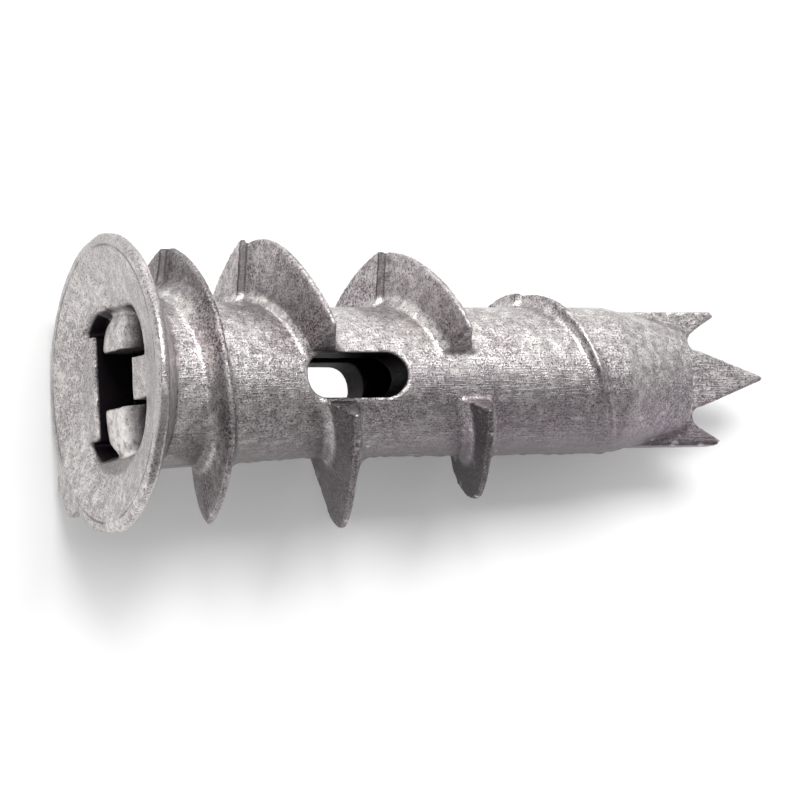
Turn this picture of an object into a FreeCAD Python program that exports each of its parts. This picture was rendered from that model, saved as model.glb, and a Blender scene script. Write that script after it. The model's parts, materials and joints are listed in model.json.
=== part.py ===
"""Self-drilling drywall anchor: one zinc die casting, lying on its side.

Lengths are in millimetres and angles in degrees. The anchor is modelled about its own axis: +X runs from
the head to the drill point, the slot opens along Y and the die's parting plane is X-Z. The finished casting
is then rolled about its axis and tipped nose-down, into the pose in which it rests on a level floor: on the
second and third thread fins of its far side, with the near end of the slot up and the head just clear of the
floor. The origin lies on the axis, in the plane of the head's outer edge.
"""

import FreeCAD
import Part
import Sketcher
import math
import os

# Driving sizes: name, value, what it is
SIZES = [
    ("head_d", 13.0, "outer diameter of the head"),
    ("rim_t", 0.50, "thickness of the head at its edge"),
    ("rim_bevel", 0.13, "bevel on both edges of the rim"),
    ("land_w", 0.55, "flat ring between the edge and the dish"),
    ("dish_depth", 0.50, "depth of the dished face"),
    ("dish_d", 7.40, "diameter of the flat floor of the dish"),
    ("hub_x", 1.90, "where the cone under the head meets the barrel"),
    ("hub_d", 7.50, "barrel diameter under the head"),
    ("taper_x", 9.70, "where the barrel's taper ends"),
    ("barrel_d", 6.60, "barrel diameter beyond the taper"),
    ("nose_x", 24.00, "where the barrel starts to narrow"),
    ("nose_len", 4.10, "length of the narrowing nose"),
    ("nose_high", 5.00, "height of the nose at its end"),
    ("nose_thick", 3.00, "thickness of the nose at its end"),
    ("overall_len", 32.30, "length from the rim plane to the point"),
    ("blade_high", 6.12, "height of the flat blade"),
    ("blade_t", 0.95, "thickness of the flat blade"),
    ("blade_root_x", 22.50, "where the blade starts, inside the barrel"),
    ("spur_x", 29.90, "reach of the two side spurs"),
    ("spur_corner", 0.24, "blunt corner of a spur"),
    ("spur_in_x", 29.10, "bend on the inner edge of a spur, along X"),
    ("spur_in_z", 2.36, "bend on the inner edge of a spur, from the axis"),
    ("notch_x", 28.66, "where a spur's inner edge enters the notch"),
    ("notch_z", 2.06, "height of that point from the axis"),
    ("notch_foot", 1.30, "height at which the drill point leaves the notch"),
    ("notch_bulge", 0.30, "how far the notch curves in behind its two ends"),
    ("point_deg", 20.50, "half angle of the drill point"),
    ("point_r", 0.10, "radius at the tip of the drill point"),
    ("bore_d", 2.80, "diameter of the screw bore"),
    ("bore_end", 25.50, "depth of the screw bore from the rim plane"),
    ("slot_x", 10.60, "middle of the slot along X"),
    ("slot_len", 4.82, "length of the slot"),
    ("slot_w", 1.92, "width of the slot"),
    ("mouth_half_y", 4.02, "half width of the drive recess at the face"),
    ("mouth_half_z", 3.52, "half height of the drive recess at the face"),
    ("mouth_corner", 2.30, "corner radius of the recess at the face"),
    ("mid_x", 2.10, "depth at which the recess walls steepen"),
    ("mid_half", 2.75, "half size of the recess at that depth"),
    ("mid_corner", 1.50, "corner radius of the recess at that depth"),
    ("floor_x", 4.60, "depth of the floor of the recess"),
    ("floor_half", 2.45, "half size of the recess at its floor"),
    ("floor_corner", 1.30, "corner radius of the recess at its floor"),
    ("rib_gap", 2.90, "gap between the upper and the lower drive rib"),
    ("rib_w", 2.90, "width of the upper and the lower drive rib"),
    ("rib_x", 0.68, "depth of these ribs' front faces"),
    ("rib_tip", 3.36, "reach of these ribs' rounded ends from the axis"),
    ("wide_rib_high", 4.60, "height of the wide side rib"),
    ("wide_rib_y", 2.28, "distance of the wide side rib from the axis"),
    ("small_rib_high", 1.84, "height of the small side rib"),
    ("small_rib_y", 2.08, "distance of the small side rib from the axis"),
    ("gate_deg", 50.00, "place of the gate stub, from the bottom parting line to the far side"),
    ("gate_w", 2.50, "width of the gate stub"),
    ("gate_out", 0.85, "how far the gate stub stands out of the rim"),
    ("gate_corner", 0.40, "blunt corner of the gate stub"),
    ("gate_t", 0.38, "thickness of the gate stub"),
    ("flat_deg", 9.00, "place of the small flat on the rim, from the bottom parting line"),
    ("flat_cut", 0.06, "depth of that flat"),
    ("roll_deg", 93.10, "roll of the resting anchor about its axis"),
    ("nose_down_deg", 6.60, "slope of the resting anchor's axis"),
    ("pitch", 6.65, "pitch of the thread"),
    ("first_top_x", 2.86, "crest of the first turn along X at the top, in the near die half"),
    ("first_low_x", 4.72, "crest of the first turn along X at the bottom"),
    ("second_top_x", 7.24, "crest of the second turn along X at the top, in the near die half"),
    ("near_run", 3.70, "how far a fin runs along X in the near die half"),
    ("top_step", 0.35, "step along X between the two die halves at the top"),
    ("start_run", 1.30, "how far the thread runs along X before its first top"),
    ("crest_t", 0.28, "thickness of a fin at its crest"),
    ("flank_head", 6.50, "slope of the flank on the head's side"),
    ("flank_tip", 18.00, "slope of the flank on the point's side"),
    ("root_flare", 0.34, "height and width of the fillet at the foot of a fin"),
    ("relief_top", 1.00, "height above the slot's middle at which a fin ends on the barrel"),
    ("relief_rise", 24.0, "slope of that end, up and out from the barrel"),
    ("relief_deg", 19.50, "angle past the slot's middle at which a fin starts again"),
    ("relief_from", 6.20, "start of the stretch in which the fins are relieved"),
    ("relief_to", 19.20, "end of the stretch in which the fins are relieved"),
    ("crest_start", 3.62, "crest radius where the thread starts"),
    ("start_bulge", 1.90, "bulge of the crest's rise to its first top"),
    ("crest_top_1", 5.95, "crest radius at the top of the first turn"),
    ("crest_low_1", 6.15, "crest radius at the bottom of the first turn"),
    ("near_bulge_1", 4.45, "bulge of the first turn in the near die half"),
    ("far_bulge_1", 3.90, "bulge of the first turn in the far die half"),
    ("far_top_2", 6.36, "crest radius at the top of the second turn, in the far die half"),
    ("near_top_2", 6.20, "the same in the near die half"),
    ("crest_side_2", 5.75, "crest radius of the second turn above the slot"),
    ("crest_under_2", 5.95, "crest radius of the second turn below the slot"),
    ("crest_low_2", 6.46, "crest radius at the bottom of the second turn"),
    ("far_top_3", 5.86, "crest radius at the top of the third turn, in the far die half"),
    ("near_top_3", 5.80, "the same in the near die half"),
    ("crest_side_3", 5.40, "crest radius of the third turn above the slot"),
    ("crest_under_3", 5.35, "crest radius of the third turn below the slot"),
    ("crest_low_3", 5.27, "crest radius at the bottom of the third turn"),
    ("crest_side_4", 4.50, "crest radius of the third turn at the far side"),
    ("far_top_4", 3.98, "crest radius at the top of the fourth turn, in the far die half"),
    ("near_top_4", 3.90, "the same in the near die half"),
    ("crest_past_4", 3.80, "crest radius where the fourth turn starts to fade"),
    ("crest_end", 3.26, "crest radius where the thread ends inside the barrel's skin"),
    ("upper_bulge", 0.42, "bulge of a relieved fin between its top and the slot"),
    ("lower_bulge", 0.62, "bulge of a relieved fin between the slot and its bottom"),
    ("round_bulge", 0.85, "bulge of the third turn between its top and the slot"),
    ("start_deg", 120.0, "angle by which the thread starts ahead of its first top"),
    ("shoulder_deg", 20.0, "angle over which the second turn keeps its height past the top"),
    ("side_deg", 72.0, "angle from the top to the upper corner of a fin beside the slot"),
    ("under_deg", 105.0, "angle from the top to the lower corner of a fin beside the slot"),
    ("fade_deg", 50.0, "angle past the top at which the fourth turn starts to fade"),
    ("end_deg", 172.0, "angle past the top of the fourth turn at which the thread ends"),
]

# Angle between two cross-sections of a fin
SECTION_STEP = 22.5
# Share of the barrel's wall, from the bore outwards, at which a fin's foot ends inside it
ROOT_SHARE = 0.85
# Least share of a low ridge that keeps the slopes of the flanks
LOW_RIDGE_SHARE = 0.4

doc = FreeCAD.newDocument("drywall_anchor")
sheet = doc.addObject("Spreadsheet::Sheet", "Sizes")
for row, (name, value, note) in enumerate(SIZES, start=1):
    sheet.set("A%d" % row, name)
    sheet.set("B%d" % row, str(value))
    sheet.set("C%d" % row, note)
    sheet.setAlias("B%d" % row, name)
doc.recompute()


class Size:
    """A size that carries both its number and the expression that binds it to the sheet."""

    def __init__(self, value, text):
        self.value = value
        self.text = text

    def _join(self, sign, other, value):
        return Size(value, "(%s %s %s)" % (self.text, sign, other.text))

    def __add__(self, other):
        other = as_size(other)
        return self._join("+", other, self.value + other.value)

    def __sub__(self, other):
        other = as_size(other)
        return self._join("-", other, self.value - other.value)

    def __mul__(self, other):
        other = as_size(other)
        return self._join("*", other, self.value * other.value)

    def __truediv__(self, other):
        other = as_size(other)
        return self._join("/", other, self.value / other.value)

    def __neg__(self):
        return Size(-self.value, "(0 - %s)" % self.text)


def as_size(value):
    return value if isinstance(value, Size) else Size(float(value), repr(float(value)))


def size(name):
    return Size(float(sheet.get(name)), "Sizes.%s" % name)


def sin_of(angle):
    return Size(math.sin(math.radians(angle.value)), "sin(%s * 1deg)" % angle.text)


def cos_of(angle):
    return Size(math.cos(math.radians(angle.value)), "cos(%s * 1deg)" % angle.text)


def tan_of(angle):
    return Size(math.tan(math.radians(angle.value)), "tan(%s * 1deg)" % angle.text)


def bind(thing, prop, value):
    """Sets a property now and ties it to the sheet."""
    thing.setExpression(prop, value.text)


def new_body(name, label):
    body = doc.addObject("PartDesign::Body", name)
    body.Label = label
    return body


def origin_plane(body, role):
    return next(f for f in body.Origin.OriginFeatures if f.Role == role)


def new_sketch(body, name, role, offset=None, turn=None):
    """A sketch on one of the body's own planes, moved along its normal and turned about it."""
    sketch = body.newObject("Sketcher::SketchObject", name)
    sketch.AttachmentSupport = [(origin_plane(body, role), "")]
    sketch.MapMode = "FlatFace"
    if offset is not None:
        bind(sketch, ".AttachmentOffset.Base.z", offset)
    if turn is not None:
        sketch.AttachmentOffset = FreeCAD.Placement(
            FreeCAD.Vector(0, 0, 0), FreeCAD.Rotation(FreeCAD.Vector(0, 0, 1), turn.value))
        bind(sketch, ".AttachmentOffset.Rotation.Angle", turn)
    return sketch


def point_of(corner):
    return FreeCAD.Vector(corner[0].value, corner[1].value, 0)


def pin_point(sketch, geo, end, corner):
    """Holds one end of a line or arc at a place given by two sizes."""
    for kind, value in (("DistanceX", corner[0]), ("DistanceY", corner[1])):
        index = sketch.addConstraint(Sketcher.Constraint(kind, -1, 1, geo, end, value.value))
        sketch.setExpression("Constraints[%d]" % index, value.text)


def arc_between(start, end, radius, bulge_left):
    """The shorter arc from start to end that bulges to the left or to the right of the chord."""
    a, b = point_of(start), point_of(end)
    chord = b - a
    half = chord.Length / 2
    left = FreeCAD.Vector(-chord.y, chord.x, 0).normalize()
    rise = math.sqrt(max(radius.value ** 2 - half ** 2, 0.0))
    side = 1 if bulge_left else -1
    centre = (a + b) * 0.5 - left * (side * rise)
    middle = centre + left * (side * radius.value)
    return Part.Arc(a, middle, b)


def closed_outline(sketch, corners):
    """A closed outline. Each corner is (x, y), or (x, y, radius, bulge_left) where an arc leads on from it."""
    corners = [(as_size(c[0]), as_size(c[1])) + tuple(c[2:]) for c in corners]
    ids = []
    for k, corner in enumerate(corners):
        after = corners[(k + 1) % len(corners)]
        if len(corner) > 2:
            ids.append(sketch.addGeometry(arc_between(corner, after, corner[2], corner[3]), False))
        else:
            ids.append(sketch.addGeometry(Part.LineSegment(point_of(corner), point_of(after)), False))
    ends = []
    for k, corner in enumerate(corners):
        first, second = 1, 2
        if len(corner) > 2:
            start = sketch.getPoint(ids[k], 1)
            if (start - point_of(corner)).Length > 1e-6:
                first, second = 2, 1
        ends.append((first, second))
    for k, corner in enumerate(corners):
        pin_point(sketch, ids[k], ends[k][0], corner)
        after = (k + 1) % len(corners)
        sketch.addConstraint(Sketcher.Constraint("Coincident", ids[k], ends[k][1], ids[after], ends[after][0]))
        if len(corner) > 2:
            index = sketch.addConstraint(Sketcher.Constraint("Radius", ids[k], corner[2].value))
            sketch.setExpression("Constraints[%d]" % index, corner[2].text)


def rounded_box_outline(sketch, half_w, half_h, corner):
    """An outline centred on the axis, with four round corners."""
    w, h, r = half_w, half_h, corner
    closed_outline(sketch, [
        (r - w, h), (w - r, h, r, True), (w, h - r), (w, r - h, r, True),
        (w - r, -h), (r - w, -h, r, True), (-w, r - h), (-w, h - r, r, True)])


def circle_outline(sketch, radius):
    geo = sketch.addGeometry(Part.Circle(FreeCAD.Vector(0, 0, 0), FreeCAD.Vector(0, 0, 1), radius.value), False)
    sketch.addConstraint(Sketcher.Constraint("Coincident", geo, 3, -1, 1))
    index = sketch.addConstraint(Sketcher.Constraint("Radius", geo, radius.value))
    sketch.setExpression("Constraints[%d]" % index, radius.text)


def extrude(body, kind, name, sketch, length=None, both_sides=False, reverse=False):
    """A pad or a pocket of a sketch, through everything where no length is given."""
    feature = body.newObject(kind, name)
    feature.Profile = sketch
    feature.Reversed = reverse
    if both_sides:
        feature.SideType = "Symmetric"
    if length is None:
        feature.Type = "ThroughAll"
    else:
        bind(feature, "Length", length)
    return feature


head_r = size("head_d") / 2
barrel_r = size("barrel_d") / 2
hub_r = size("hub_d") / 2
nose_end = size("nose_x") + size("nose_len")


def make_shell(body):
    """Head and barrel, turned about the axis from one half section."""
    bevel = size("rim_bevel")
    sketch = new_sketch(body, "half_section", "XZ_Plane")
    closed_outline(sketch, [
        (size("dish_depth"), 0),
        (size("dish_depth"), size("dish_d") / 2),
        (0, head_r - size("land_w")),
        (0, head_r - bevel),
        (bevel, head_r),
        (size("rim_t") - bevel, head_r),
        (size("rim_t"), head_r - bevel),
        (size("hub_x"), hub_r),
        (size("taper_x"), barrel_r),
        (size("nose_x"), barrel_r),
        (size("nose_x"), 0)])
    turned = body.newObject("PartDesign::Revolution", "head_and_barrel")
    turned.Profile = sketch
    turned.ReferenceAxis = (origin_plane(body, "X_Axis"), [""])
    turned.Angle = 360


def make_nose(body):
    """The barrel narrows to a flattened nose."""
    start = new_sketch(body, "nose_start", "YZ_Plane", size("nose_x"))
    circle_outline(start, barrel_r)
    end = new_sketch(body, "nose_end", "YZ_Plane", nose_end)
    half_high = size("nose_high") / 2
    half_thick = size("nose_thick") / 2
    ellipse = Part.Ellipse(
        FreeCAD.Vector(0, half_high.value, 0), FreeCAD.Vector(half_thick.value, 0, 0), FreeCAD.Vector(0, 0, 0))
    geo = end.addGeometry(ellipse, False)
    end.exposeInternalGeometry(geo)
    end.addConstraint(Sketcher.Constraint("Coincident", geo, 3, -1, 1))
    for axis_id, kind, value in ((geo + 1, "DistanceY", size("nose_high")), (geo + 2, "DistanceX", size("nose_thick"))):
        a = end.getPoint(axis_id, 1)
        b = end.getPoint(axis_id, 2)
        rising = (b.x + b.y) > (a.x + a.y)
        first, second = (1, 2) if rising else (2, 1)
        index = end.addConstraint(Sketcher.Constraint(kind, axis_id, first, axis_id, second, value.value))
        end.setExpression("Constraints[%d]" % index, value.text)
    end.addConstraint(Sketcher.Constraint("Vertical", geo + 1))
    loft = body.newObject("PartDesign::AdditiveLoft", "nose")
    loft.Profile = start
    loft.Sections = [end]
    loft.Ruled = True


def make_blade(body):
    """Flat drill blade in the parting plane: a long point between two side spurs."""
    half = size("blade_high") / 2
    corner = size("spur_corner")
    tip_centre = size("overall_len") - size("point_r")
    shoulder_x = tip_centre + size("point_r") * sin_of(size("point_deg"))
    shoulder_z = size("point_r") * cos_of(size("point_deg"))
    foot = size("notch_foot")
    foot_x = shoulder_x - (foot - shoulder_z) / tan_of(size("point_deg"))
    bulge = size("notch_bulge")
    run = foot_x - size("notch_x")
    drop = size("notch_z") - foot
    notch_r = (run * run + drop * drop) / (bulge * 8) + bulge / 2
    upper = [
        (size("blade_root_x"), half),
        (size("spur_x") - corner, half),
        (size("spur_x"), half - corner),
        (size("spur_in_x"), size("spur_in_z")),
        (size("notch_x"), size("notch_z"), notch_r, False),
        (foot_x, foot),
        (shoulder_x, shoulder_z, size("point_r"), True)]
    lower = [
        (shoulder_x, -shoulder_z),
        (foot_x, -foot, notch_r, False),
        (size("notch_x"), -size("notch_z")),
        (size("spur_in_x"), -size("spur_in_z")),
        (size("spur_x"), corner - half),
        (size("spur_x") - corner, -half),
        (size("blade_root_x"), -half)]
    sketch = new_sketch(body, "blade_outline", "XZ_Plane")
    closed_outline(sketch, upper + lower)
    extrude(body, "PartDesign::Pad", "blade", sketch, size("blade_t"), both_sides=True)


def make_gate(body):
    """Stub of the casting gate on the far lower edge of the rim."""
    half = size("gate_w") / 2
    sketch = new_sketch(body, "gate_outline", "YZ_Plane", size("rim_bevel") / 2, size("gate_deg"))
    outer = head_r + size("gate_out")
    inner = head_r - size("land_w")
    corner = size("gate_corner")
    closed_outline(sketch, [
        (corner - half, -outer), (half - corner, -outer), (half, corner - outer), (half, -inner), (-half, -inner),
        (-half, corner - outer)])
    extrude(body, "PartDesign::Pad", "gate_stub", sketch, size("gate_t"))


def cut_rim_flat(body):
    """The small flat on the lower edge of the rim."""
    floor = head_r - size("flat_cut")
    sketch = new_sketch(body, "flat_outline", "YZ_Plane", None, size("flat_deg"))
    closed_outline(sketch, [
        (-head_r, -(head_r * 2)),
        (head_r, -(head_r * 2)),
        (head_r, -floor),
        (-head_r, -floor)])
    extrude(body, "PartDesign::Pocket", "rim_flat", sketch, size("hub_x"), reverse=True)


def cut_bore(body):
    sketch = new_sketch(body, "bore_outline", "YZ_Plane")
    circle_outline(sketch, size("bore_d") / 2)
    extrude(body, "PartDesign::Pocket", "screw_bore", sketch, size("bore_end"), reverse=True)


def cut_slot(body):
    """A slot with round ends through both walls of the barrel."""
    half_w = size("slot_w") / 2
    half_run = size("slot_len") / 2 - half_w
    left = size("slot_x") - half_run
    right = size("slot_x") + half_run
    sketch = new_sketch(body, "slot_outline", "XZ_Plane")
    closed_outline(sketch, [
        (left, half_w),
        (right, half_w, half_w, True), (right + half_w, 0, half_w, True),
        (right, -half_w),
        (left, -half_w, half_w, True), (left - half_w, 0, half_w, True)])
    extrude(body, "PartDesign::Pocket", "slot", sketch, both_sides=True)


def make_recess_pin(body):
    """The shape that the die's core pin leaves in the head: drafted walls and four drive ribs."""
    sections = []
    for name, depth, half_y, half_z, corner in (
            ("mouth", size("rim_bevel") * -1, size("mouth_half_y"), size("mouth_half_z"), size("mouth_corner")),
            ("steepening", size("mid_x"), size("mid_half"), size("mid_half"), size("mid_corner")),
            ("floor", size("floor_x"), size("floor_half"), size("floor_half"), size("floor_corner"))):
        sketch = new_sketch(body, name, "YZ_Plane", depth)
        rounded_box_outline(sketch, half_y, half_z, corner)
        sections.append(sketch)
    loft = body.newObject("PartDesign::AdditiveLoft", "drafted_pin")
    loft.Profile = sections[0]
    loft.Sections = sections[1:]
    loft.Ruled = True

    reach = size("head_d")
    side_ribs = (
        ("wide_rib", size("wide_rib_y"), reach, size("wide_rib_high") / 2),
        ("small_rib", -reach, -size("small_rib_y"), size("small_rib_high") / 2))
    for name, low, high, half in side_ribs:
        sketch = new_sketch(body, name + "_outline", "YZ_Plane", size("rim_bevel") * -2)
        closed_outline(sketch, [(low, -half), (high, -half), (high, half), (low, half)])
        extrude(body, "PartDesign::Pocket", name, sketch, reach, reverse=True)

    half_w = size("rib_w") / 2
    tip = size("rib_tip")
    for name, way in (("upper_rib", 1), ("lower_rib", -1)):
        near_edge = size("rib_gap") / 2 * way
        shoulder = (tip - half_w) * way
        top = tip * way
        sketch = new_sketch(body, name + "_outline", "YZ_Plane", size("rib_x"))
        closed_outline(sketch, [
            (-half_w, near_edge), (-half_w, shoulder, half_w, way > 0), (0, top, half_w, way > 0),
            (half_w, shoulder), (half_w, near_edge)])
        extrude(body, "PartDesign::Pocket", name, sketch, reach, reverse=True)


def top_x(turn):
    """Crest along X at the top of a turn, in the near die half. The first turn starts under the head."""
    return sheet.first_top_x if turn == 1 else sheet.second_top_x + sheet.pitch * (turn - 2)


def low_x(turn):
    """Crest along X at the bottom of a turn, where both die halves meet."""
    return sheet.first_low_x if turn == 1 else top_x(turn) + sheet.near_run


def near_stretches():
    """Fins of the near die half: crest along X at both ends, and the corners of the crest in the end view.

    A corner is its angle from the top through the near side, its radius, and the bulge of the arc that leads to
    the next corner. With no bulge the radius changes evenly with the angle.
    """
    side, under = sheet.side_deg, sheet.under_deg
    fade_share = sheet.end_deg / 180
    return [
        (top_x(1), low_x(1), [
            (0, sheet.crest_top_1, sheet.near_bulge_1), (180, sheet.crest_low_1)]),
        (top_x(2), low_x(2), [
            (0, sheet.near_top_2, None), (sheet.shoulder_deg, sheet.near_top_2, sheet.upper_bulge),
            (side, sheet.crest_side_2, None), (under, sheet.crest_under_2, sheet.lower_bulge),
            (180, sheet.crest_low_2)]),
        (top_x(3), low_x(3), [
            (0, sheet.near_top_3, sheet.round_bulge), (side, sheet.crest_side_3, None),
            (under, sheet.crest_under_3, sheet.lower_bulge), (180, sheet.crest_low_3)]),
        (top_x(4), top_x(4) + sheet.near_run * fade_share, [
            (0, sheet.near_top_4, None), (sheet.fade_deg, sheet.crest_past_4, None),
            (sheet.end_deg, sheet.crest_end)])]


def far_stretches():
    """The same for the far die half, which shares the bottoms and steps back from the tops of the near one."""
    side, under = 180 + sheet.side_deg, 180 + sheet.under_deg
    start = -sheet.start_deg
    return [
        (top_x(1) - sheet.top_step - sheet.start_run, top_x(1) - sheet.top_step, [
            (start, sheet.crest_start, sheet.start_bulge), (0, sheet.crest_top_1)]),
        (low_x(1), top_x(2) - sheet.top_step, [
            (180, sheet.crest_low_1, sheet.far_bulge_1), (360, sheet.far_top_2)]),
        (low_x(2), top_x(3) - sheet.top_step, [
            (180, sheet.crest_low_2, sheet.upper_bulge), (side, sheet.crest_side_2, None),
            (under, sheet.crest_side_3, sheet.round_bulge), (360, sheet.far_top_3)]),
        (low_x(3), top_x(4) - sheet.top_step, [
            (180, sheet.crest_low_3, None), (270, sheet.crest_side_4, None), (360, sheet.far_top_4)])]


def arc_reach(angle, start, end, bulge):
    """Distance from the axis, at an angle, to the arc between two corners that bulges outwards."""
    points = [complex(r * math.cos(math.radians(a)), r * math.sin(math.radians(a))) for a, r in (start, end)]
    chord = points[1] - points[0]
    half = abs(chord) / 2
    radius = (half * half + bulge * bulge) / (2 * bulge)
    outwards = complex(chord.imag, -chord.real) / abs(chord)
    centre = (points[0] + points[1]) / 2 - outwards * (radius - bulge)
    ray = complex(math.cos(math.radians(angle)), math.sin(math.radians(angle)))
    along = centre.real * ray.real + centre.imag * ray.imag
    return along + math.sqrt(along * along + radius * radius - abs(centre) ** 2)


def crest_r(angle, corners):
    """Crest radius at an angle, from the corners on both sides of it."""
    for start, end in zip(corners, corners[1:]):
        if start[0] <= angle <= end[0]:
            if start[2] is None:
                share = (angle - start[0]) / (end[0] - start[0])
                return start[1] + (end[1] - start[1]) * share
            return arc_reach(angle, start[:2], end[:2], start[2])
    return corners[-1][1]


def barrel_r_at(x):
    """Outer radius of the barrel, tapered from the head."""
    hub = sheet.hub_d / 2
    plain = sheet.barrel_d / 2
    share = min(max((x - sheet.hub_x) / (sheet.taper_x - sheet.hub_x), 0.0), 1.0)
    return hub + (plain - hub) * share


def fin_section(angle, x, top):
    """Cross-section of a fin in the half plane at this angle about the axis."""
    foot = barrel_r_at(x)
    inside = sheet.bore_d / 2 + (foot - sheet.bore_d / 2) * ROOT_SHARE
    drop = max(top - foot - sheet.root_flare, (top - inside) * LOW_RIDGE_SHARE)
    below = top - drop - inside
    half_crest = sheet.crest_t / 2
    knee_head = half_crest + drop * math.tan(math.radians(sheet.flank_head))
    knee_tip = half_crest + drop * math.tan(math.radians(sheet.flank_tip))
    outline = [
        (x - knee_head - below, inside),
        (x - knee_head, top - drop),
        (x - half_crest, top),
        (x + half_crest, top),
        (x + knee_tip, top - drop),
        (x + knee_tip + below, inside)]
    turn = math.radians(angle)
    points = [FreeCAD.Vector(px, -r * math.sin(turn), r * math.cos(turn)) for px, r in outline]
    return Part.makePolygon(points + points[:1])


def fin_stretch(x_start, x_end, corners):
    """One stretch of fin within one die half."""
    first = corners[0][0]
    last = corners[-1][0]
    steps = max(int(math.ceil((last - first) / SECTION_STEP)), 2)
    wires = []
    for k in range(steps + 1):
        share = k / steps
        angle = first + (last - first) * share
        wires.append(fin_section(angle, x_start + (x_end - x_start) * share, crest_r(angle, corners)))
    return Part.makeLoft(wires, True, False)


def relief_wedge(side):
    """Space beside the slot in which the fins are left out, on one side of the barrel."""
    reach = sheet.head_d
    wall = sheet.barrel_d / 2
    angle = math.radians(sheet.relief_deg)
    lift = (reach - wall) * math.tan(math.radians(sheet.relief_rise))
    corners = [(0, sheet.relief_top), (-wall, sheet.relief_top), (-reach, sheet.relief_top + lift),
               (-reach * math.cos(angle), -reach * math.sin(angle)), (0, 0)]
    points = [FreeCAD.Vector(sheet.relief_from, side * y, side * z) for y, z in corners]
    face = Part.Face(Part.makePolygon(points + points[:1]))
    return face.extrude(FreeCAD.Vector(sheet.relief_to - sheet.relief_from, 0, 0))


def make_thread():
    """All stretches of fin, with the relief beside the slot cut out of them."""
    cutters = [relief_wedge(1), relief_wedge(-1)]
    pieces = []
    for x_start, x_end, corners in near_stretches() + far_stretches():
        pieces += fin_stretch(x_start, x_end, corners).cut(cutters).Solids
    whole = pieces[0]
    for piece in pieces[1:]:
        whole = whole.fuse(piece)
    thread = doc.addObject("Part::Feature", "thread_fins")
    thread.Label = "thread fins"
    thread.Shape = whole
    return thread


core = new_body("casting_core", "casting core")
make_shell(core)
make_nose(core)
make_blade(core)
make_gate(core)
cut_rim_flat(core)
cut_bore(core)
cut_slot(core)
pin = new_body("recess_pin", "recess pin")
make_recess_pin(pin)
doc.recompute()

drilled = doc.addObject("Part::Cut", "core_with_recess")
drilled.Base = core
drilled.Tool = pin
thread = make_thread()
anchor = doc.addObject("Part::Fuse", "anchor_body")
anchor.Label = "anchor_body"
anchor.Base = drilled
anchor.Tool = thread
anchor.Placement = FreeCAD.Placement(
    FreeCAD.Vector(0, 0, 0), FreeCAD.Rotation(0, sheet.nose_down_deg, -sheet.roll_deg))
anchor.setExpression(
    "Placement", "placement(vector(0; 0; 0); rotation(0; Sizes.nose_down_deg; 0 - Sizes.roll_deg))")
doc.recompute()

for thing in doc.Objects:
    bad = [word for word in thing.State if word in ("Invalid", "Error")]
    if bad:
        raise RuntimeError("%s is %s" % (thing.Name, ", ".join(bad)))

os.makedirs("parts", exist_ok=True)
for node in [anchor]:
    shape = node.Shape
    if shape.isNull() or not shape.isValid():
        raise RuntimeError("%s has no valid shape" % node.Label)
    shape.exportStep("parts/%s.step" % node.Label)
    centre = shape.Solids[0].CenterOfMass
    print(node.Label, len(shape.Solids), "solid", len(shape.Faces), "faces", round(shape.Volume, 2), "mm3",
          "centre of mass", [round(v, 3) for v in centre], shape.BoundBox)
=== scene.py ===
"""Looks of a cast zinc drywall anchor that lies on a pale table.

The casting is shaped from the fixed frame, gets the softened edges, the burrs and the ripples that a die
leaves, and is shown with a satin zinc finish, into whose colour some shade and highlights are painted.
Lengths are in metres, except that the casting is shaped and coloured by places in millimetres along the
anchor's own axes: +X runs from the head to the drill point, -Y is the side that lies uppermost, with one
mouth of the slot, and Z runs between the two parting lines.
"""

import json
import math

import bpy
import numpy as np
from bpy.props import FloatProperty, FloatVectorProperty, IntProperty, PointerProperty
from mathutils import Euler, Matrix, Vector

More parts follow.
